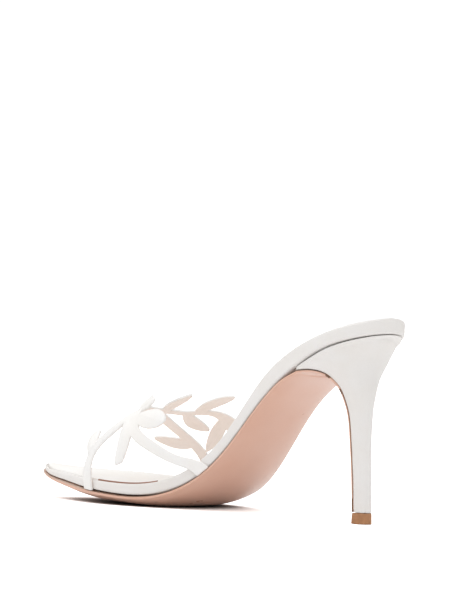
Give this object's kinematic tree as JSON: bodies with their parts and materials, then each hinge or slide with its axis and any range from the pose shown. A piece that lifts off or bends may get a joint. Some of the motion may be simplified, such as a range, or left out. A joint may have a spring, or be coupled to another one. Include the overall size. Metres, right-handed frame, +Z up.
{
  "type": "high-heeled mule",
  "caption": "High-heeled open mule for the right foot, with a pointed flat sole, a slender heel and crossed leaf-cut leather straps.",
  "frame": {"origin": "middle of the bounding box's foot, on the floor that the shoe stands on", "axes": "+Z up, -Y towards the toe, +X towards the inner side of the foot"},
  "size_m": [0.0788, 0.2156, 0.0992],
  "materials": {
    "strap_leather": "smooth white leather outside, nude lining inside",
    "white_leather": "smooth white leather wrapped over the board",
    "lining_leather": "soft matt leather",
    "sole_leather": "polished nude leather with a dark painted edge",
    "heel_leather": "smooth white leather wrapped round the heel",
    "top_piece_rubber": "hard tan rubber"
  },
  "bodies": {
    "root": {"upper": "strap_leather", "footbed": "white_leather", "sock_lining": "lining_leather", "outsole": "sole_leather", "heel": "heel_leather", "heel_top_piece": "top_piece_rubber"}
  },
  "joints": []
}
